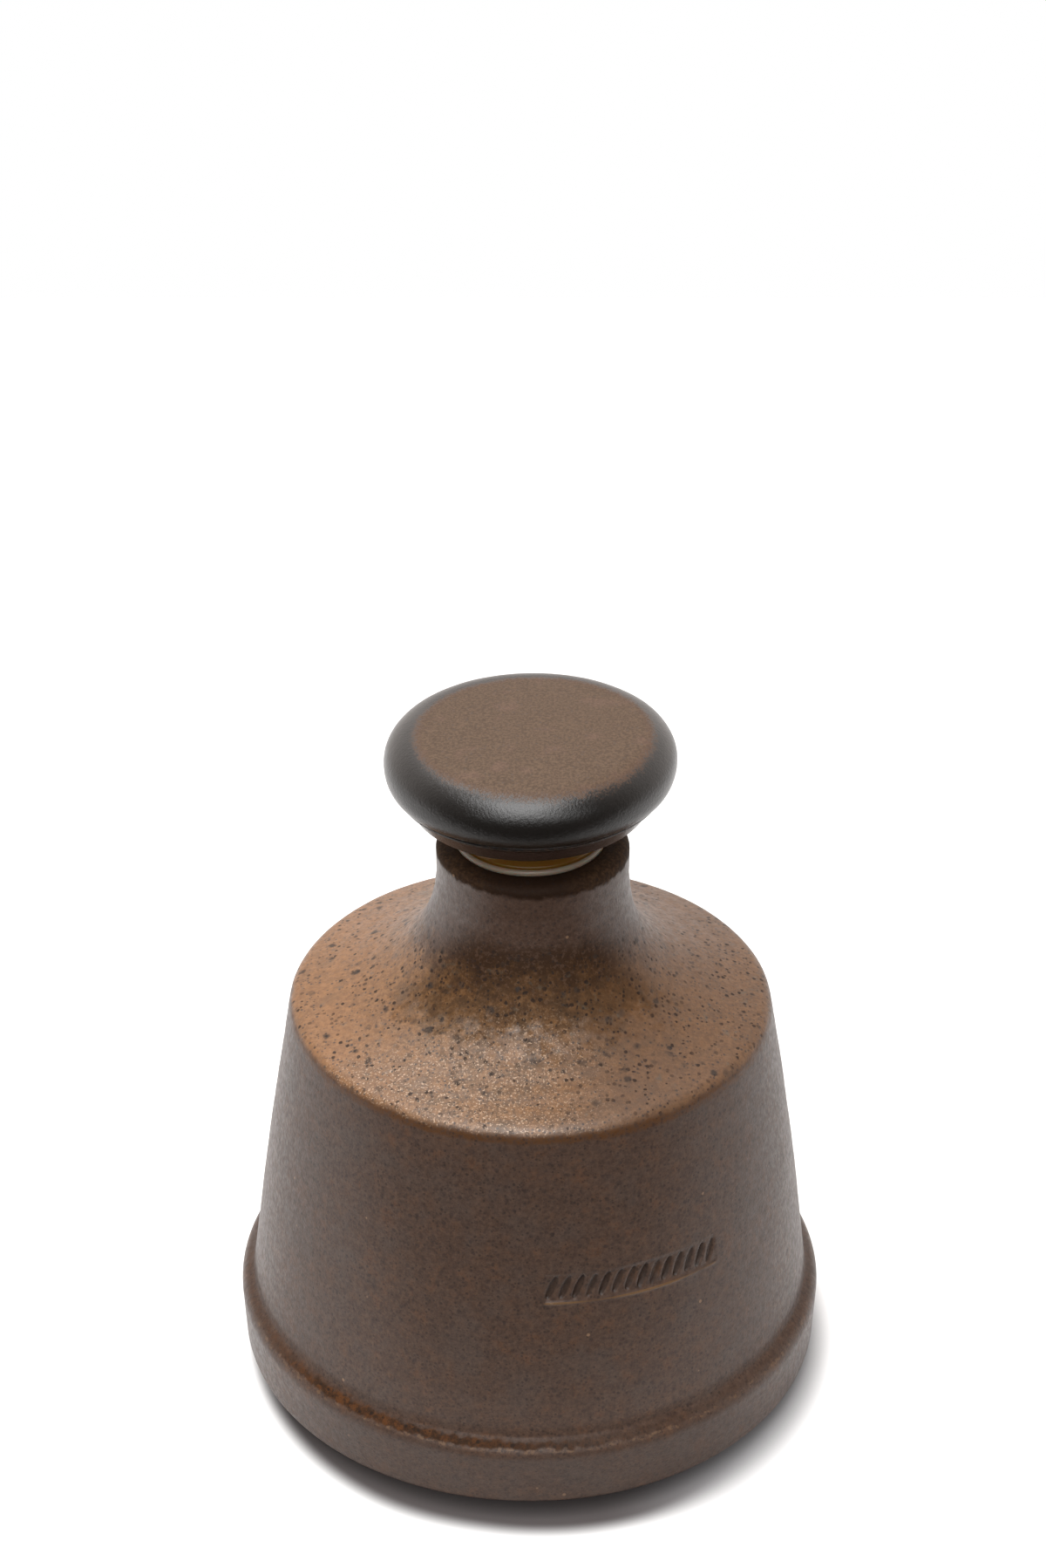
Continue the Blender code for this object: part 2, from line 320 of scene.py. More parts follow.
def seal_outline():
    """The collar, the flange and the finned sleeve, as one closed outline."""
    inner = STEM_RADIUS + SEAL_GAP
    flange_bottom = LIP_HEIGHT + SEAL_GAP
    flange_top = flange_bottom + FLANGE_THICKNESS
    collar_top = (COLLAR_RADIUS, SEAL_TOP)
    collar_foot = (COLLAR_RADIUS, flange_top)
    outline = [(inner, SEAL_TOP)]
    outline += rounded((inner, SEAL_TOP), collar_top, collar_foot, 0.3)
    outline += rounded(collar_top, collar_foot, (FLANGE_RADIUS, flange_top), 0.35)
    flange_edge = (0.5, FLANGE_THICKNESS / 2)
    middle = (FLANGE_RADIUS - flange_edge[0], (flange_bottom + flange_top) / 2)
    outline += ellipse(middle, flange_edge, 90, -90)
    outline += [(SLEEVE_RADIUS, flange_bottom)]
    for i in range(FIN_COUNT):
        fin = flange_bottom - 2.0 - FIN_PITCH * i
        outline += [(SLEEVE_RADIUS, fin)]
        outline += ellipse((BORE_RADIUS - 0.55, fin - 0.7), (0.4, 0.35), 90, -90, step=30)
        outline += [(SLEEVE_RADIUS, fin - 2.0)]
    outline += [(SLEEVE_RADIUS, SEAL_BOTTOM + 0.6), (SLEEVE_RADIUS - 0.5, SEAL_BOTTOM)]
    outline += [(inner, SEAL_BOTTOM), (inner, SEAL_BOTTOM + 4.0), (inner, SEAL_TOP - 4.0)]
    return joined(outline)


# ---------------------------------------------------------------- turned skins


def lathe(name, outline, angles, relief=None, closed=False, impression=None):
    """A skin turned from an outline. relief(radius, height, angle) gives outward offsets in mm.

    impression is the part of the relief that the finish reads too, as its depth in mm.
    """
    points = np.array(outline)
    poles = [i for i in (0, len(points) - 1) if points[i, 0] < 1e-6 and not closed]
    ring_rows = [i for i in range(len(points)) if i not in poles]
    before = np.roll(points, 1, axis=0)
    after = np.roll(points, -1, axis=0)
    if not closed:
        before[0], after[-1] = points[0], points[-1]
    along = after - before
    along /= np.linalg.norm(along, axis=1)[:, None]
    normals = np.column_stack([-along[:, 1], along[:, 0]])

    turn = np.radians(angles)
    columns = len(turn)
    radius = points[ring_rows, 0][:, None] * np.ones(columns)
    height = points[ring_rows, 1][:, None] * np.ones(columns)
    surface = (radius, height, turn[None, :] * np.ones((len(ring_rows), 1)))
    if relief is not None:
        offset = relief(*surface)
        radius = radius + normals[ring_rows, 0][:, None] * offset
        height = height + normals[ring_rows, 1][:, None] * offset
    grid = np.stack([radius * np.cos(turn), radius * np.sin(turn), height], axis=-1)
    vertices = [tuple(v * MM) for v in grid.reshape(-1, 3)]
    grid_size = len(vertices)

    rows = len(ring_rows)
    faces = []
    for i in range(rows if closed else rows - 1):
        low = (i + 1) % rows
        for j in range(columns):
            side = (j + 1) % columns
            upper, lower = i * columns, low * columns
            faces.append((upper + j, lower + j, lower + side, upper + side))
    for pole in poles:
        vertices.append((0.0, 0.0, points[pole, 1] * MM))
        centre = len(vertices) - 1
        ring = 0 if pole == 0 else (rows - 1) * columns
        for j in range(columns):
            pair = (ring + j, ring + (j + 1) % columns)
            faces.append((centre, *pair) if pole == 0 else (centre, pair[1], pair[0]))

    mesh = bpy.data.meshes.new(name)
    mesh.from_pydata(vertices, [], faces)
    if impression is not None:
        depth = -impression(*surface).ravel()
        stored = mesh.attributes.new("impression", "FLOAT", "POINT")
        at_poles = np.zeros(len(vertices) - grid_size)
        stored.data.foreach_set("value", np.concatenate([depth, at_poles]))
    mesh.shade_smooth()
    mesh.set_sharp_from_angle(angle=math.radians(50))
    piece = bpy.data.objects.new(name, mesh)
    bpy.context.scene.collection.objects.link(piece)
    return piece


def smooth_step(low, high, value):
    """0 at low and beyond, 1 at high and beyond, eased between them."""
    t = np.clip((value - low) / (high - low), 0.0, 1.0)
    return t * t * (3 - 2 * t)


def soft_noise(radius, height, turn, scale, seed):
    """Smooth noise on the piece's surface, from -1 to 1, with features of about scale mm."""
    x, y = radius * np.cos(turn) / scale, radius * np.sin(turn) / scale
    z = height / scale + seed * 17.3
    flat = [noise.noise(Vector(p)) for p in zip(x.ravel(), y.ravel(), z.ravel())]
    return np.array(flat).reshape(radius.shape)


def mark_place(radius, height, turn):
    """Distances in mm along and across the mark's strip, from its middle."""
    around = (np.degrees(turn) - FRONT + 180) % 360 - 180
    middle = (MARK_START + MARK_END) / 2
    mean_radius = wall_radius(MARK_HEIGHT)
    along = np.radians(around - middle) * mean_radius
    across = height - MARK_HEIGHT - MARK_SLOPE * along
    return along, across


def mark_relief(radius, height, turn):
    """The impressed strip with its leaves, and the clay pushed up along its lower edge."""
    along, across = mark_place(radius, height, turn)
    half_length = math.radians(MARK_END - MARK_START) / 2 * wall_radius(MARK_HEIGHT)
    outside = np.maximum(np.abs(along) - half_length, np.abs(across) - MARK_STRIP_HALF)
    uneven = 0.75 + 0.35 * np.sin(along * 0.33 + 0.8)
    strip = smooth_step(0.35, -0.25, outside) * MARK_STRIP_DEPTH * uneven
    pushed = np.exp(-((across + MARK_STRIP_HALF + 0.35) / 0.28) ** 2)
    pushed = pushed * smooth_step(0.8, -0.8, np.abs(along) - half_length) * PUSHED_CLAY * uneven

    pitch = 2 * half_length / LEAVES
    nearest = np.clip(np.floor((along + half_length) / pitch), 0, LEAVES - 1)
    from_leaf = along + half_length - (nearest + 0.5) * pitch
    from_leaf = (from_leaf - LEAF_SLANT * across) / math.hypot(1, LEAF_SLANT)
    from_tip = np.clip(1 - (across / (MARK_STRIP_HALF - 0.35)) ** 2, 0, 1)
    half_width = LEAF_HALF_WIDTH * np.sqrt(from_tip)
    leaf = smooth_step(0.22, -0.22, np.abs(from_leaf) - half_width) * (half_width > 0.05)
    depth = LEAF_DEPTH * (0.7 + 0.5 * np.sin(nearest * 1.9 + 0.6) ** 2)
    leaf_depth = leaf * depth * smooth_step(0.2, -0.2, outside)
    outer = smooth_step(30.0, 35.0, radius)
    return (pushed - strip - leaf_depth) * outer


def bottle_relief(radius, height, turn):
    """Throwing rings, a slight wobble and the impressed mark, on the outside only."""
    full_turn = 2 * math.pi
    inward = np.vectorize(wall_radius)(height) - radius
    outer_wall = smooth_step(WALL_THICKNESS * 0.6, WALL_THICKNESS * 0.2, inward)
    wall_part = outer_wall * smooth_step(18.5, 23.5, height) * smooth_step(73.5, 70.5, height)
    lean = RING_LEAN * np.sin(turn + 0.7)
    rings = 0.0
    for depth, pitch, leaning, phase in WALL_RINGS:
        at = (height + leaning * lean) * full_turn / pitch
        rings = rings + depth * np.sin(at + phase)
    shoulder_part = smooth_step(15.0, 22.0, radius) * smooth_step(74.0, 75.5, height)
    depth, pitch = SHOULDER_RINGS
    shoulder_rings = depth * np.sin(radius * full_turn / pitch + lean)
    neck_part = smooth_step(88.5, 94.5, height) * smooth_step(14.5, 15.8, radius)
    depth, pitch = NECK_RINGS
    neck_rings = depth * np.sin(height * full_turn / pitch + lean)

    outside = smooth_step(13.0, 16.0, radius)
    wobble = sum(depth * np.cos(waves * turn + phase) for depth, waves, phase in WOBBLE)
    wobble = wobble * smooth_step(18.5, 44.5, height) * outside
    neck_top = smooth_step(86.0, 96.0, height) * smooth_step(13.0, 15.0, radius)
    wobble = wobble + NECK_SHIFT * np.cos(turn) * neck_top
    depth, size = LUMPS
    uneven = depth * soft_noise(radius, height, turn, size, 1)
    uneven = uneven * smooth_step(12.5, 20.5, height) * outside * smooth_step(103.0, 99.5, height)
    return (
        rings * wall_part
        + shoulder_rings * shoulder_part
        + neck_rings * neck_part
        + wobble
        + uneven
        + mark_relief(radius, height, turn)
    )


def cap_relief(radius, height, turn):
    """A slightly uneven, slightly oval roll."""
    rim = smooth_step(12.0, 20.0, radius)
    depth, size = CAP_LUMPS
    uneven = depth * soft_noise(radius, height, turn, size, 2)
    return (uneven + CAP_OVAL * np.cos(2 * turn + 0.4)) * rim


def seal_relief(radius, height, turn):
    """The fine moulding line down two opposite sides of the collar."""
    around = np.degrees(turn) - FRONT
    nearest = (around + MOULD_LINE_TURN + 90.0) % 180.0 - 90.0
    rise, width = MOULD_LINE
    line = np.exp(-(np.radians(nearest) * COLLAR_RADIUS / width) ** 2)
    return rise * line * (height > LIP_HEIGHT) * (radius > COLLAR_RADIUS - 0.4)


def tilt_head(piece, angle):
    """Leans the cap's head about Y without moving its stem."""
    for vertex in piece.data.vertices:
        radius = math.hypot(vertex.co.x, vertex.co.y) / MM
        share = min(1.0, max(0.0, (radius - STEM_RADIUS) / 4.0))
        if vertex.co.z / MM > CAP_RIM_HEIGHT:
            share = 1.0
        vertex.co.z += vertex.co.x * math.tan(angle) * share


def even_angles(count):
    """Directions in degrees for evenly spaced columns."""
    return np.arange(count) * 360.0 / count


def bottle_angles():
    """Close columns across the mark and wider ones round the rest."""
    fine = np.arange(FRONT + MARK_START - 2.5, FRONT + MARK_END + 2.5, 0.3)
    coarse = np.arange(fine[-1] + 1.2, fine[0] + 360.0 - 0.6, 1.5)
    return np.concatenate([fine, coarse])


# ---------------------------------------------------------------- finishes


class Finish:
    """A procedural material. Its methods add nodes and return their outputs."""

    def __init__(self, name, centre=(0.0, 0.0)):
        self.material = bpy.data.materials.new(name)
        self.material.use_nodes = True
        self.tree = self.material.node_tree
        self.shader = self.tree.nodes["Principled BSDF"]
        self.place = self.node("ShaderNodeTexCoord").outputs["Object"]
        split = self.node("ShaderNodeSeparateXYZ")
        self.put(split.inputs[0], self.place)
        self.x, self.y, metres = split.outputs
        if any(centre):
            self.x = self.math("SUBTRACT", self.x, centre[0])
            self.y = self.math("SUBTRACT", self.y, centre[1])
        self.height = self.math("DIVIDE", metres, MM)
        squares = [self.math("POWER", side, 2.0) for side in (self.x, self.y)]
        self.radius = self.math("DIVIDE", self.math("SQRT", self.plus(*squares)), MM)

    def node(self, kind, **settings):
        made = self.tree.nodes.new(kind)
        for key, value in settings.items():
            setattr(made, key, value)
        return made

    def put(self, socket, value):
        if isinstance(value, bpy.types.NodeSocket):
            self.tree.links.new(value, socket)
        else:
            socket.default_value = value

    def math(self, operation, a, b=None, clamp=False):
        made = self.node("ShaderNodeMath", operation=operation, use_clamp=clamp)
        self.put(made.inputs[0], a)
        if b is not None:
            self.put(made.inputs[1], b)
        return made.outputs[0]

    def plus(self, a, b):
        return self.math("ADD", a, b)

    def times(self, *factors):
        product = factors[0]
        for factor in factors[1:]:
            product = self.math("MULTIPLY", product, factor)
        return product

    def most(self, *values):
        largest = values[0]
        for value in values[1:]:
            largest = self.math("MAXIMUM", largest, value)
        return largest

    def sway(self, noise, amount):
        """Noise as a shift either way, amount from end to end."""
        return self.times(self.math("SUBTRACT", noise, 0.5), amount)

    def between(self, value, low, high, out_low=0.0, out_high=1.0):
        """A smooth ramp from out_low at low to out_high at high."""
        made = self.node("ShaderNodeMapRange", interpolation_type="SMOOTHSTEP")
        for socket, given in zip(made.inputs, (value, low, high, out_low, out_high)):
            self.put(socket, given)
        return made.outputs[0]

    def strip(self, value, start, full, fading, end):
        """1 from full to fading, easing off to 0 at start and at end."""
        return self.times(self.between(value, start, full), self.between(value, end, fading))

    def noise(self, size, detail=2.0, roughness=0.5, shift=0.0, stretch=(1, 1, 1)):
        """Noise from 0 to 1 with features of about size mm."""
        spread = self.node("ShaderNodeMapping")
        self.put(spread.inputs["Vector"], self.place)
        spread.inputs["Location"].default_value = (shift, shift * 0.7, shift * 0.3)
        spread.inputs["Scale"].default_value = stretch
        made = self.node("ShaderNodeTexNoise")
        self.put(made.inputs["Vector"], spread.outputs[0])
        made.inputs["Scale"].default_value = 1.0 / (size * MM)
        made.inputs["Detail"].default_value = detail
        made.inputs["Roughness"].default_value = roughness
        return made.outputs["Fac"]

    def specks(self, pitch, radius, share, softness=0.5, ragged=0.0):
        """Scattered round specks: pitch and radius in mm, share of the cells that hold one.

        ragged is how far noise pulls their edges about, in mm.
        """
        spot = self.place
        if ragged:
            bend = self.node("ShaderNodeTexNoise")
            self.put(bend.inputs["Vector"], self.place)
            bend.inputs["Scale"].default_value = 1.0 / (radius * 1.3 * MM)
            centred = self.node("ShaderNodeVectorMath", operation="SUBTRACT")
            self.put(centred.inputs[0], bend.outputs["Color"])
            centred.inputs[1].default_value = (0.5, 0.5, 0.5)
            shift = self.node("ShaderNodeVectorMath", operation="SCALE")
            self.put(shift.inputs[0], centred.outputs[0])
            shift.inputs["Scale"].default_value = ragged * MM
            moved = self.node("ShaderNodeVectorMath", operation="ADD")
            self.put(moved.inputs[0], self.place)
            self.put(moved.inputs[1], shift.outputs[0])
            spot = moved.outputs[0]
        cells = self.node("ShaderNodeTexVoronoi")
        self.put(cells.inputs["Vector"], spot)
        cells.inputs["Scale"].default_value = 1.0 / (pitch * MM)
        chance = self.node("ShaderNodeSeparateColor")
        self.put(chance.inputs[0], cells.outputs["Color"])
        smallest, largest = 0.55 * radius / pitch, 1.25 * radius / pitch
        size = self.between(chance.outputs[1], 0.0, 1.0, smallest, largest)
        inner = self.math("MULTIPLY", size, 1.0 - softness)
        there = self.math("LESS_THAN", chance.outputs[0], share)
        round_spot = self.between(cells.outputs["Distance"], size, inner)
        return self.times(round_spot, there)

    def rgba(self, colour):
        return colour if isinstance(colour, bpy.types.NodeSocket) else (*colour, 1.0)

    def mix(self, share, a, b):
        """Colour a where share is 0 and b where it is 1."""
        made = self.node("ShaderNodeMix", data_type="RGBA")
        self.put(made.inputs[0], share)
        self.put(made.inputs[6], self.rgba(a))
        self.put(made.inputs[7], self.rgba(b))
        return made.outputs[2]

    def gritty(self, colour, grit, light, dark, shares, spread=0.12):
        """A colour with light and dark grains, each up to its own share."""
        above = self.between(grit, 0.50, 0.50 + spread, 0.0, shares[0])
        below = self.between(grit, 0.50, 0.50 - spread, 0.0, shares[1])
        return self.mix(below, self.mix(above, colour, light), dark)

    def bump(self, height, depth, before=None):
        """Bump whose height runs over depth mm."""
        made = self.node("ShaderNodeBump")
        made.inputs["Distance"].default_value = depth * MM
        self.put(made.inputs["Height"], height)
        if before is not None:
            self.put(made.inputs["Normal"], before)
        return made.outputs[0]

    def finish(self, colour, roughness, normal=None, **fixed):
        self.put(self.shader.inputs["Base Color"], self.rgba(colour))
        self.put(self.shader.inputs["Roughness"], roughness)
        if normal is not None:
            self.put(self.shader.inputs["Normal"], normal)
        for name, value in fixed.items():
            self.shader.inputs[name.replace("_", " ")].default_value = value
        return self.material


def wall_colour(f, mottle, patches, grit):
    """Purple-brown with faint orange and grey mottles."""
    warmer = f.between(mottle, 0.40, 0.62)
    colour = f.mix(warmer, (0.0480, 0.0285, 0.0205), (0.0570, 0.0330, 0.0225))
    greyer = f.between(patches, 0.47, 0.68, 0.0, 0.8)
    colour = f.mix(greyer, colour, (0.050, 0.0335, 0.0265))
    rusty = f.times(f.between(mottle, 0.52, 0.66), f.between(patches, 0.58, 0.42), 0.25)
    colour = f.mix(rusty, colour, (0.098, 0.0380, 0.0140))
    light, dark = (0.080, 0.0490, 0.0340), (0.022, 0.0140, 0.0110)
    return f.gritty(colour, grit, light, dark, (0.40, 0.45), spread=0.14)


def shoulder_colour(f, mottle, patches, grit, drift):
    """Tan with dark and grey-green clouds; painted shade browns it to the right and front, painted
    light brightens the left, and by the neck's front it darkens, partly glaze and partly painted
    shade.
    """
    deeper = f.between(patches, 0.35, 0.65)
    colour = f.mix(deeper, (0.130, 0.0605, 0.0215), (0.094, 0.0475, 0.0185))
    bright = f.between(f.noise(1.5, 4.0, 0.65, shift=0.3), 0.40, 0.68)
    colour = f.mix(bright, colour, (0.172, 0.0810, 0.0285))
    colour = f.mix(f.between(mottle, 0.52, 0.70, 0.0, 0.55), colour, (0.085, 0.048, 0.028))
    light, dark = (0.205, 0.108, 0.050), (0.058, 0.0280, 0.0120)
    colour = f.gritty(colour, grit, light, dark, (0.6, 0.7))
    clouds = f.between(f.noise(5.5, 6.0, 0.68, shift=4.1), 0.50, 0.66, 0.0, 0.5)
    colour = f.mix(clouds, colour, (0.055, 0.0340, 0.0180))

    # Painted shade: browner and darker towards the right
    to_right = f.between(f.plus(f.x, f.sway(patches, 0.03)), -0.004, 0.018)
    colour = f.mix(f.times(to_right, 0.62), colour, (0.066, 0.030, 0.013))
    # Painted light: brighter towards the left
    to_left = f.between(f.x, -0.012, -0.032, 0.0, 0.35)
    colour = f.mix(to_left, colour, (0.200, 0.0850, 0.0270))
    # Painted shade: darker and duller towards the front
    to_front = f.between(f.y, -0.016, -0.034, 0.0, 0.16)
    colour = f.mix(to_front, colour, (0.060, 0.0420, 0.0340))
    # Darker by the neck's foot at the front: partly a darker glaze, partly painted shade under the
    # cap
    near_neck = f.times(
        f.between(f.plus(f.height, f.times(drift, 0.4)), TAN_TOP - 14.5, TAN_TOP - 7.5),
        f.between(f.y, *FRONT_SIDE),
        f.between(mottle, 0.40, 0.60, 0.55, 1.0),
        0.80,
    )
    return f.mix(near_neck, colour, (0.040, 0.0220, 0.0110))


def neck_colour(f, grit, drift):
    """Purple-brown, darker and redder low down at the front: partly the glaze, partly painted
    shade under the cap.
    """
    brown = (0.050, 0.0280, 0.0190)
    # foot: darker glaze with painted shade from the cap, on the neck's front foot
    foot = (0.025, 0.0120, 0.0055)
    climbing = f.between(f.plus(f.height, f.times(drift, 0.3)), TAN_TOP - 0.5, TAN_TOP + 4.5)
    colour = f.mix(f.between(f.y, *FRONT_SIDE), brown, f.mix(climbing, foot, brown))
    light, dark = (0.082, 0.0500, 0.0370), (0.024, 0.0130, 0.0095)
    return f.gritty(colour, grit, light, dark, (0.35, 0.40))


def speckle(f, colour, speckled, on_shoulder):
    """Adds the specks, many and small to few and large, and a painted sparkle at the shoulder's
    front. Also returns where the dark ones are.
    """
    plain = f.math("SUBTRACT", 1.0, speckled)
    black = (0.016, 0.011, 0.009)
    stains = f.between(f.noise(2.0, 3.0, 0.6, shift=1.3), 0.60, 0.74)
    colour = f.mix(f.times(stains, speckled, 0.45), colour, (0.060, 0.054, 0.042))
    groups = f.between(f.noise(4.5, 3.0, 0.6, shift=5.2), 0.42, 0.58, 0.55, 1.0)
    spots = f.specks(2.5, 0.85, 0.40, 0.60, ragged=1.1)
    colour = f.mix(f.times(spots, speckled, groups, 0.85), colour, (0.026, 0.022, 0.020))
    specks = f.specks(1.10, 0.41, 0.62, 0.45, ragged=0.4)
    dark = f.most(f.times(spots, groups), f.times(specks, groups))
    colour = f.mix(f.times(specks, speckled, groups, 0.90), colour, black)
    colour = f.mix(f.times(specks, plain, 0.35), colour, (0.014, 0.010, 0.010))
    pepper = f.times(f.specks(0.70, 0.26, 0.50, 0.5), f.between(speckled, 0.0, 1.0, 0.55, 0.80))
    colour = f.mix(pepper, colour, black)

    # Painted sparkle of the sheen: pale grains near the shoulder's front edge; and a few pale
    # specks over the rest
    shine = f.times(f.between(f.x, 0.018, -0.002), f.between(f.y, -0.018, -0.028), on_shoulder)
    sparkle_grains = f.between(f.noise(0.36, 2.0, 0.6, shift=2.1), 0.56, 0.68)
    colour = f.mix(f.times(sparkle_grains, shine, 0.70), colour, (0.40, 0.28, 0.19))
    lights = f.specks(4.6, 0.34, 0.45, 0.4)
    return f.mix(f.times(lights, plain, 0.55), colour, (0.22, 0.13, 0.075)), dark


def rust_ledge(f, colour):
    """Adds the rust on the ledge above the band, broken towards the right, and a pale line with a
    painted glint along the band's edge.
    """
    edge = BAND_TOP_HEIGHT
    step = f.plus(f.height, f.sway(f.noise(1.4, 3.0, shift=1.7), 1.2))
    ledge = f.times(
        f.strip(step, edge + 0.2, edge + 0.8, edge + 1.1, edge + 2.0),
        f.between(f.radius, 46.0, 48.0),
        f.between(f.x, 0.036, -0.010, 0.25, 1.0),
        f.between(f.x, -0.048, -0.034, 0.35, 1.0),
    )
    colour = f.mix(f.times(ledge, 0.85), colour, (0.017, 0.0080, 0.0036))
    broken = f.between(f.noise(1.3, 4.0, 0.7, shift=0.6), 0.40, 0.62, 0.05, 0.85)
    to_left = f.between(f.x, 0.012, -0.030, 0.30, 0.85)
    colour = f.mix(f.times(ledge, broken, to_left), colour, (0.078, 0.0300, 0.0100))
    pits = f.times(f.specks(1.0, 0.40, 0.5, 0.5, ragged=0.4), ledge, 0.8)
    colour = f.mix(pits, colour, (0.012, 0.008, 0.006))
    # A broken pale line along the band's top edge: partly the glaze breaking pale, partly a
    # painted glint
    glint = f.times(
        f.strip(step, edge - 0.1, edge + 0.2, edge + 0.4, edge + 0.7),
        f.between(f.noise(1.1, 4.0, 0.7, shift=2.6), 0.50, 0.62),
        0.40,
    )
    return f.mix(glint, colour, (0.14, 0.080, 0.042)), ledge


def bottle_glaze():
    """Iron glaze: purple-brown on the wall and neck, tan and speckled on the shoulder."""
    f = Finish("iron_glaze")
    mottle = f.noise(2.6, 5.0, 0.68, shift=0.1)
    patches = f.noise(7.5, 3.0, 0.6, shift=0.9)
    grit = f.noise(0.75, 4.0, 0.75, shift=3.3)
    drift = f.sway(f.noise(2.6, 6.0, 0.7, shift=0.4), 15.0)
    height = f.plus(f.height, f.sway(f.noise(3.0, 3.0), 1.2))
    high = f.plus(f.height, drift)

    wall_part = wall_colour(f, mottle, patches, grit)
    neck_part = neck_colour(f, grit, drift)
    colour = f.mix(f.between(height, TAN_TOP - 11.0, TAN_TOP - 7.0), wall_part, neck_part)
    on_shoulder = f.times(
        f.between(height, TAN_BOTTOM, TAN_BOTTOM + 1.1), f.between(high, TAN_TOP, TAN_TOP - 10.0)
    )
    tan = shoulder_colour(f, mottle, patches, grit, drift)
    colour = f.mix(on_shoulder, colour, tan)
    line = TAN_BOTTOM
    shoulder_line = f.times(
        f.strip(height, line - 1.2, line - 0.5, line + 0.2, line + 1.2),
        f.between(grit, 0.42, 0.54, 0.35, 1.0),
        0.90,
    )
    colour = f.mix(shoulder_line, colour, (0.060, 0.0245, 0.0075))

    # The lip is nearly black, partly a dark glaze and partly painted shade under the cap, lighter
    # towards its two sides
    lip_height = f.plus(height, f.sway(f.noise(2.2, 4.0, 0.6, shift=6.1), 1.5))
    lip = f.between(lip_height, LIP_HEIGHT - 2.6, LIP_HEIGHT - 1.5)
    aside = f.math("ABSOLUTE", f.x)
    lighter_sides = f.times(f.between(aside, 0.004, 0.013), f.between(grit, 0.40, 0.62, 0.2, 1.0))
    lip_colour = f.mix(lighter_sides, (0.012, 0.0058, 0.0030), (0.040, 0.0210, 0.0095))
    colour = f.mix(f.times(lip, 0.88), colour, lip_colour)

    speckled = f.times(
        f.between(high, TAN_TOP + 5.0, TAN_TOP - 5.0),
        f.between(height, TAN_BOTTOM + 0.1, TAN_BOTTOM + 1.3),
    )
    colour, dark = speckle(f, colour, speckled, on_shoulder)

    # Painted shade: the band darker at the front, from just under the ledge down
    band = f.between(f.height, BAND_TOP_HEIGHT + 0.6, BAND_TOP_HEIGHT - 0.9)
    band = f.times(band, f.between(f.y, -0.030, -0.045), 0.35)
    colour = f.mix(band, colour, (0.022, 0.0110, 0.0065))
    colour, ledge = rust_ledge(f, colour)

    # The impressed mark is dark inside and golden along its pushed-up lower edge
    mark = f.node("ShaderNodeAttribute", attribute_name="impression").outputs["Fac"]
    colour = f.mix(f.between(mark, 0.10, 0.34, 0.0, 0.60), colour, (0.014, 0.0085, 0.0060))
    colour = f.mix(f.between(mark, -0.03, -0.10, 0.0, 0.85), colour, (0.105, 0.056, 0.024))
    unglazed = f.between(f.height, GLAZE_END, GLAZE_END - 0.7)
    colour = f.mix(unglazed, colour, (0.11, 0.062, 0.040))

    normal = f.bump(f.noise(2.4, 2.0, 0.5, shift=0.8), 0.05)
    normal = f.bump(f.noise(0.42, 2.0, 0.6, shift=0.5), 0.05, before=normal)

    # Dry where the glaze is thin: the neck's front foot, lip, ledge, the wall's foot, underneath
    foot = f.times(
        f.between(high, TAN_TOP - 14.5, TAN_TOP - 7.0),
        f.between(f.height, TAN_TOP + 7.0, TAN_TOP - 3.0),
        f.between(f.y, *FRONT_SIDE),
    )
    edge = BAND_TOP_HEIGHT
    cove = f.times(f.strip(f.height, edge + 0.4, edge + 1.2, edge + 2.8, edge + 4.6), 0.60)
    dry = f.most(foot, lip, ledge, cove, unglazed)
    upper = f.most(on_shoulder, f.between(height, TAN_TOP - 7.0, TAN_TOP + 3.0))
    to_right = f.between(f.x, -0.005, 0.025, 0.46, 0.34)
    upper_gloss = f.plus(to_right, f.between(f.y, 0.0, 0.030, 0.0, 0.32))
    gloss = f.between(dry, 0.0, 1.0, f.between(upper, 0.0, 1.0, 0.21, upper_gloss), 0.05)
    gloss = f.times(gloss, f.between(f.times(dark, speckled), 0.0, 1.0, 1.0, 0.3))
    f.put(f.shader.inputs["Specular IOR Level"], gloss)
    satin = f.between(f.noise(1.0, 3.0, 0.6, shift=0.7), 0.3, 0.7, 0.36, 0.50)
    return f.finish(colour, f.most(satin, f.times(dry, 0.65)), normal)


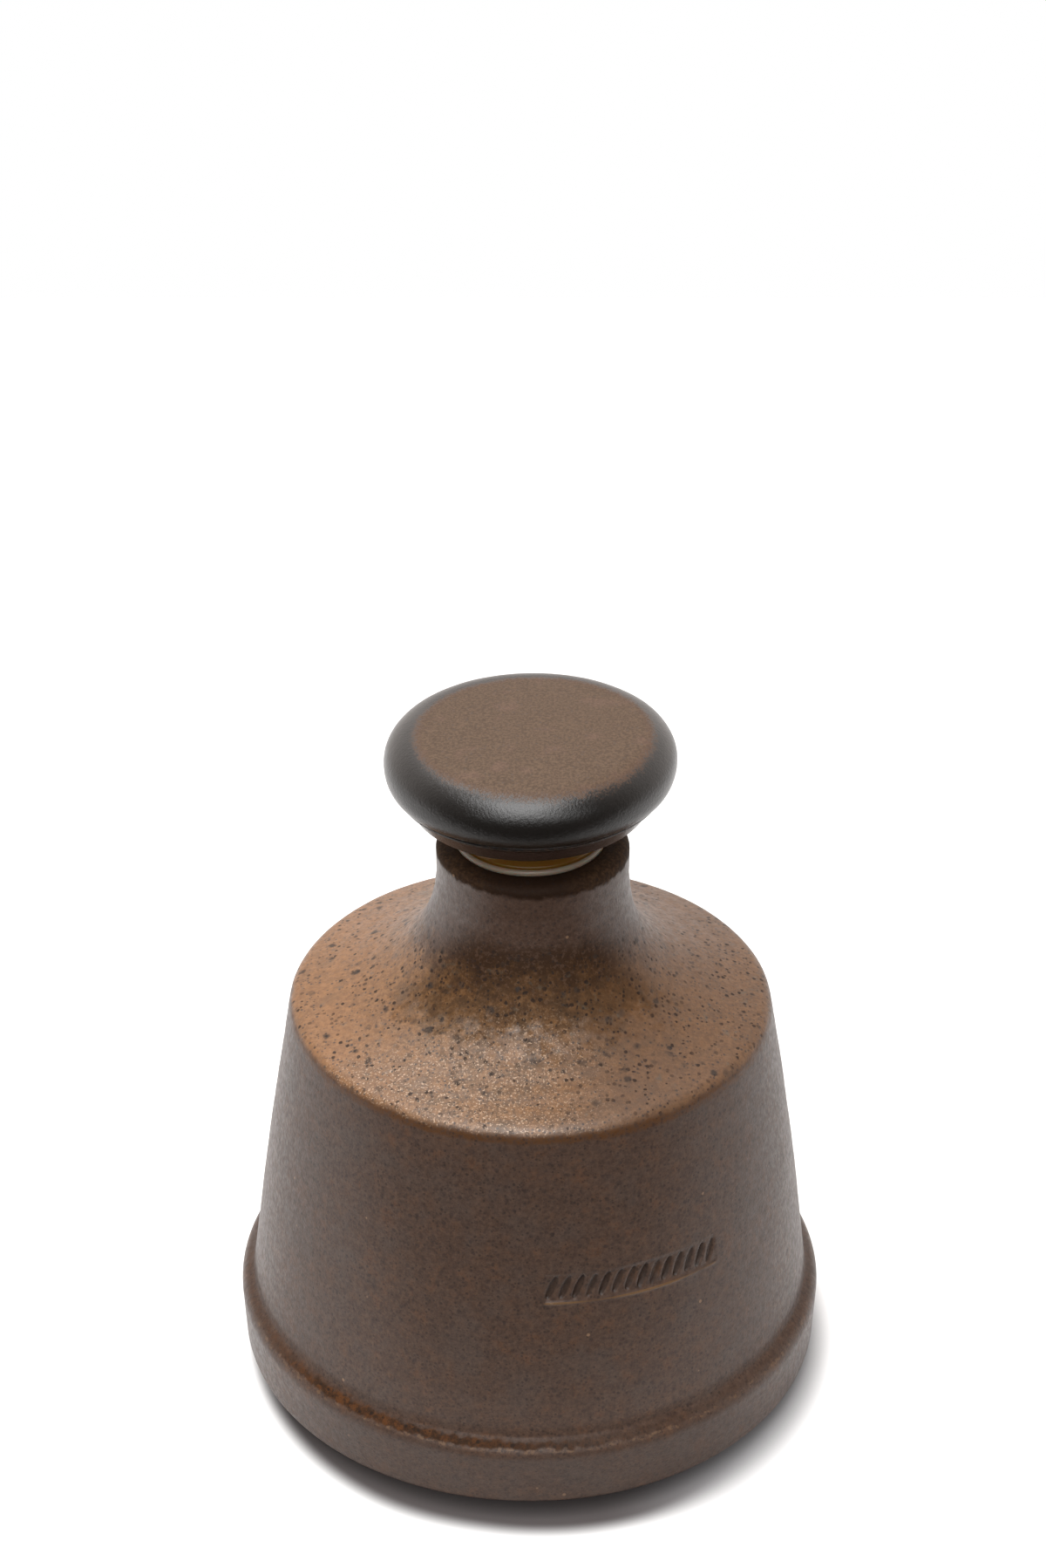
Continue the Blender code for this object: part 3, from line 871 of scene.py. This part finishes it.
def cap_glaze():
    """A dry brown top inside a satin black rim, and a brown cone underneath."""
    f = Finish("cap_glaze")
    wander = f.plus(
        f.sway(f.noise(1.3, 6.0, 0.75, shift=0.2), 2.6),
        f.sway(f.noise(0.35, 2.0, 0.6, shift=1.9), 3.0),
    )
    lopsided = f.math("SUBTRACT", f.times(f.y, 0.100 / MM), f.times(f.x, 0.03 / MM))
    radius = f.plus(f.plus(f.radius, lopsided), wander)
    ring = CAP_BROWN_RADIUS
    top = f.times(
        f.between(radius, ring + 1.7, ring),
        f.between(f.height, CAP_RIM_HEIGHT - 1.0, CAP_RIM_HEIGHT),
    )
    grain = f.noise(0.45, 3.0, 0.7, shift=0.1)
    brown = f.mix(f.between(grain, 0.38, 0.62), (0.0425, 0.0235, 0.0122), (0.0780, 0.0465, 0.0262))
    pink = f.between(f.noise(5.5, 3.0, 0.5, shift=0.7), 0.56, 0.72, 0.0, 0.2)
    brown = f.mix(pink, brown, (0.135, 0.072, 0.055))
    brown = f.mix(f.times(f.specks(0.75, 0.26, 0.40, 0.5), 0.55), brown, (0.05, 0.035, 0.028))
    black = f.mix(f.noise(3.0, 3.0, shift=0.9), (0.005, 0.0042, 0.0036), (0.009, 0.0075, 0.0065))
    colour = f.mix(top, black, brown)
    edge = f.times(f.strip(radius, ring - 0.6, ring + 0.6, ring + 0.8, ring + 1.8), 0.4)
    colour = f.mix(edge, colour, (0.065, 0.032, 0.018))

    bead = CAP_BEAD[1]
    below = f.times(f.between(f.height, bead - 0.3, bead - 0.8), f.between(f.radius, 9.0, 11.0))
    streak = f.noise(1.6, 3.0, 0.6, shift=0.3, stretch=(0.3, 0.3, 2.0))
    cone = f.mix(streak, (0.014, 0.0072, 0.0058), (0.027, 0.0155, 0.0120))
    colour = f.mix(below, colour, cone)

    normal = f.bump(f.noise(1.8, 2.0, shift=0.6), 0.03)
    normal = f.bump(grain, 0.07, before=normal)
    rough = f.mix(top, (0.28, 0.28, 0.28), (0.62, 0.62, 0.62))
    rim_gloss = f.between(f.height, CAP_RIM_HEIGHT + 2.1, CAP_RIM_HEIGHT - 1.5, 0.48, 0.25)
    gloss = f.between(f.most(top, below), 0.0, 1.0, rim_gloss, 0.28)
    f.put(f.shader.inputs["Specular IOR Level"], gloss)
    return f.finish(colour, rough, normal)


def seal_rubber():
    """Translucent silicone, amber in the collar and milky at the flange's edge, with a small
    painted glint on the collar.
    """
    f = Finish("amber_silicone")
    amber = f.mix(f.noise(3.0, 2.0), (0.165, 0.070, 0.006), (0.20, 0.092, 0.009))
    # A painted glint: a small pale reflection on the collar's front-left, at the moulding line
    painted_glint = f.times(
        f.strip(f.x, -0.0071, -0.0068, -0.0066, -0.0063),
        f.between(f.y, -0.005, -0.006),
        f.strip(f.height, 107.2, 107.5, 108.4, 108.7),
        0.45,
    )
    amber = f.mix(painted_glint, amber, (0.85, 0.70, 0.45))
    milky = f.between(f.radius, FLANGE_RADIUS - 0.6, FLANGE_RADIUS - 0.48)
    colour = f.mix(milky, amber, (0.27, 0.22, 0.165))
    normal = f.bump(f.noise(1.0, 2.0), 0.02)
    return f.finish(
        colour, 0.32, normal,
        Subsurface_Weight=0.5, Subsurface_Scale=0.002, IOR=1.41, Transmission_Weight=0.25,
    )


# ---------------------------------------------------------------- pieces


bottle = lathe(
    "glazed_bottle", bottle_outline(), bottle_angles(), bottle_relief, impression=mark_relief
)
bottle.data.materials.append(bottle_glaze())
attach(bottle, "bottle")
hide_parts("bottle_body")

cap = lathe("glazed_cap", cap_outline(), even_angles(240), cap_relief)
tilt_head(cap, CAP_TILT)
cap.data.materials.append(cap_glaze())
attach(cap, "cap")
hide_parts("stopper_cap")

seal = lathe("silicone_seal", seal_outline(), even_angles(200), seal_relief, closed=True)
seal.data.materials.append(seal_rubber())
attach(seal, "seal")
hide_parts("stopper_seal")


# ---------------------------------------------------------------- stage, light and camera


SHADOW_CENTRE = (0.0022, -0.0034)
SHADOW_EDGE = (48.8, 53.8)          # radii in mm where the shadow is darkest and where it ends
SHADOW_DARK = ((0.088, 0.078, 0.077), (0.270, 0.268, 0.274))    # its darkest, left and right
SHEET_WHITE = (0.86, 0.86, 0.86)
FLOOR_FRONT = -0.088                # short of the camera, so that the wall mirrors less white
FLOOR_BACK = 0.55                   # where the sheet ends and the white studio shows
FLOOR_WIDTH = 1.3

STUDIO_TINT = (1.0, 0.925, 0.88)    # of the light it gives; the camera sees it plain white
STUDIO_TURN = (-0.6, 0.5)           # y of the direction where the front ends and the back starts

CAMERA_PLACE = (-0.0012, -0.4093, 0.3469)
CAMERA_TILT = math.radians(60.42)   # up from straight down
CAMERA_LENS = 65.2
CAMERA_SENSOR = 36.0


def add_floor():
    """A white sheet, with the bottle's contact shadow painted softly around its foot."""
    side = FLOOR_WIDTH / 2
    corners = [(x, y, 0) for x, y in (
        (-side, FLOOR_FRONT), (side, FLOOR_FRONT), (side, FLOOR_BACK), (-side, FLOOR_BACK)
    )]
    sheet = bpy.data.meshes.new("floor")
    sheet.from_pydata(corners, [], [(0, 1, 2, 3)])
    floor = bpy.data.objects.new("floor", sheet)
    bpy.context.scene.collection.objects.link(floor)
    f = Finish("white_sheet", centre=SHADOW_CENTRE)
    right = f.between(f.x, 0.008, 0.045)
    left = f.between(f.x, -0.008, -0.030)
    start, end = SHADOW_EDGE
    start = f.plus(f.between(right, 0.0, 1.0, start, start - 2.5), f.times(left, 0.8))
    end = f.plus(f.between(right, 0.0, 1.0, end, end + 3.2), f.times(left, 0.9))
    shade = f.mix(f.between(f.radius, start, end), f.mix(right, *SHADOW_DARK), SHEET_WHITE)
    floor.data.materials.append(f.finish(shade, 0.9, Specular_IOR_Level=0.0))


def add_softbox(name, place, target, size, watts):
    """A rectangular soft light that faces a point."""
    data = bpy.data.lights.new(name, "AREA")
    data.shape = "RECTANGLE"
    data.size, data.size_y = size
    data.energy = watts
    light = bpy.data.objects.new(name, data)
    light.location = place
    light.rotation_euler = (Vector(target) - Vector(place)).to_track_quat("-Z", "Y").to_euler()
    bpy.context.scene.collection.objects.link(light)


def add_world(front, back):
    """A white studio, dimmer on the camera's side: front and back are its strengths there."""
    world = bpy.data.worlds.new("white_studio")
    world.use_nodes = True
    bpy.context.scene.world = world
    tree = world.node_tree
    background = tree.nodes["Background"]
    direction = tree.nodes.new("ShaderNodeTexCoord")
    split = tree.nodes.new("ShaderNodeSeparateXYZ")
    tree.links.new(direction.outputs["Generated"], split.inputs[0])
    ramp = tree.nodes.new("ShaderNodeMapRange")
    ramp.interpolation_type = "SMOOTHSTEP"
    tree.links.new(split.outputs["Y"], ramp.inputs[0])
    for socket, value in zip(ramp.inputs[1:], (*STUDIO_TURN, front, back)):
        socket.default_value = value

    # What the camera sees directly is white at strength 1
    seen = tree.nodes.new("ShaderNodeLightPath").outputs["Is Camera Ray"]
    strength = tree.nodes.new("ShaderNodeMix")
    tree.links.new(seen, strength.inputs[0])
    tree.links.new(ramp.outputs[0], strength.inputs[2])
    strength.inputs[3].default_value = 1.0
    tree.links.new(strength.outputs[0], background.inputs["Strength"])
    tint = tree.nodes.new("ShaderNodeMix")
    tint.data_type = "RGBA"
    tree.links.new(seen, tint.inputs[0])
    tint.inputs[6].default_value = (*STUDIO_TINT, 1.0)
    tint.inputs[7].default_value = (1.0, 1.0, 1.0, 1.0)
    tree.links.new(tint.outputs[2], background.inputs["Color"])


def add_camera():
    """Looking down at the bottle's front from about 30 degrees."""
    data = bpy.data.cameras.new("camera")
    data.sensor_width = CAMERA_SENSOR
    data.lens = CAMERA_LENS
    data.clip_start = 0.01
    camera = bpy.data.objects.new("camera", data)
    camera.location = CAMERA_PLACE
    camera.rotation_euler = (CAMERA_TILT, 0.0, 0.0)
    bpy.context.scene.collection.objects.link(camera)
    bpy.context.scene.camera = camera


add_floor()
add_softbox(
    "overhead_front",
    place=(-0.12, -0.66, 0.85), target=(-0.12, -0.66, 0.0), size=(0.76, 1.00), watts=17.5,
)
add_softbox(
    "front_low",
    place=(-0.02, -1.45, 0.75), target=(-0.02, 0.0, 0.08), size=(2.10, 0.55), watts=11.0,
)
add_softbox(
    "overhead_back",
    place=(-0.16, 0.22, 0.85), target=(-0.16, 0.22, 0.0), size=(0.60, 0.45), watts=4.0,
)
add_world(front=0.05, back=1.32)
add_camera()
bpy.context.scene.view_settings.view_transform = "Standard"
